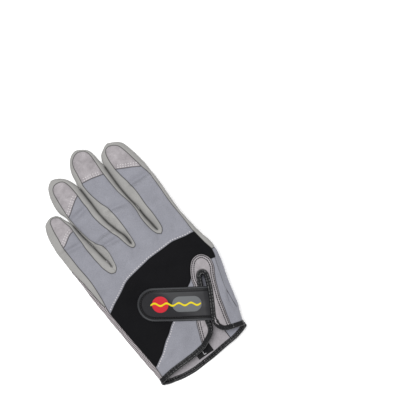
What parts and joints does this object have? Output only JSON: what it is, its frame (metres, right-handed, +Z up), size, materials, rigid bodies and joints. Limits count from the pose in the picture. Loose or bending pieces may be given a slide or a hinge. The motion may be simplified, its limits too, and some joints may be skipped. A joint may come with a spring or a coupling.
{
  "type": "fishing glove",
  "caption": "Full-finger left-hand fishing glove lying on its palm, thumb folded under, with suede fingertips, a bound wrist slit and a closing tab.",
  "frame": {"origin": "on the surface that the glove lies on, under the middle of its outline", "axes": "+X towards the thumb side, +Y towards the fingertips, +Z up from the palm to the back"},
  "size_m": [0.1186, 0.2246, 0.0298],
  "materials": {
    "knit": "foam-backed rib knit, matt blue-grey",
    "neoprene": "black neoprene under a matt jersey face",
    "suede": "synthetic suede, pinkish grey, napped and very matt",
    "palm_cloth": "pale pinkish grey cloth with rows of small dark dots",
    "side_cloth": "smooth stretch cloth, matt grey-green",
    "binding": "dark grey folded tape, matt",
    "tab_field": "moulded soft PVC, dark grey, low sheen",
    "tab_border": "moulded soft PVC border, dark grey, low sheen",
    "label": "woven black satin label"
  },
  "bodies": {
    "root": {"back_panel": "knit", "wrist_panel": "knit", "thumb_side_panel": "knit", "thumb_knit": "knit", "black_panel": "neoprene", "tip_back_little": "suede", "tip_back_ring": "suede", "tip_back_middle": "suede", "tip_back_index": "suede", "tip_palm_little": "suede", "tip_palm_ring": "suede", "tip_palm_middle": "suede", "tip_palm_index": "suede", "heel_patch": "suede", "wrist_suede": "suede", "placket": "suede", "thumb_suede": "suede", "palm_panel": "palm_cloth", "side_wall_little_outer": "side_cloth", "side_wall_little_ring": "side_cloth", "side_wall_ring_middle": "side_cloth", "side_wall_middle_index": "side_cloth", "side_wall_index_outer": "side_cloth", "cuff_binding": "binding", "tab": "tab_field", "tab_piping": "tab_border", "size_label": "label"}
  },
  "joints": []
}
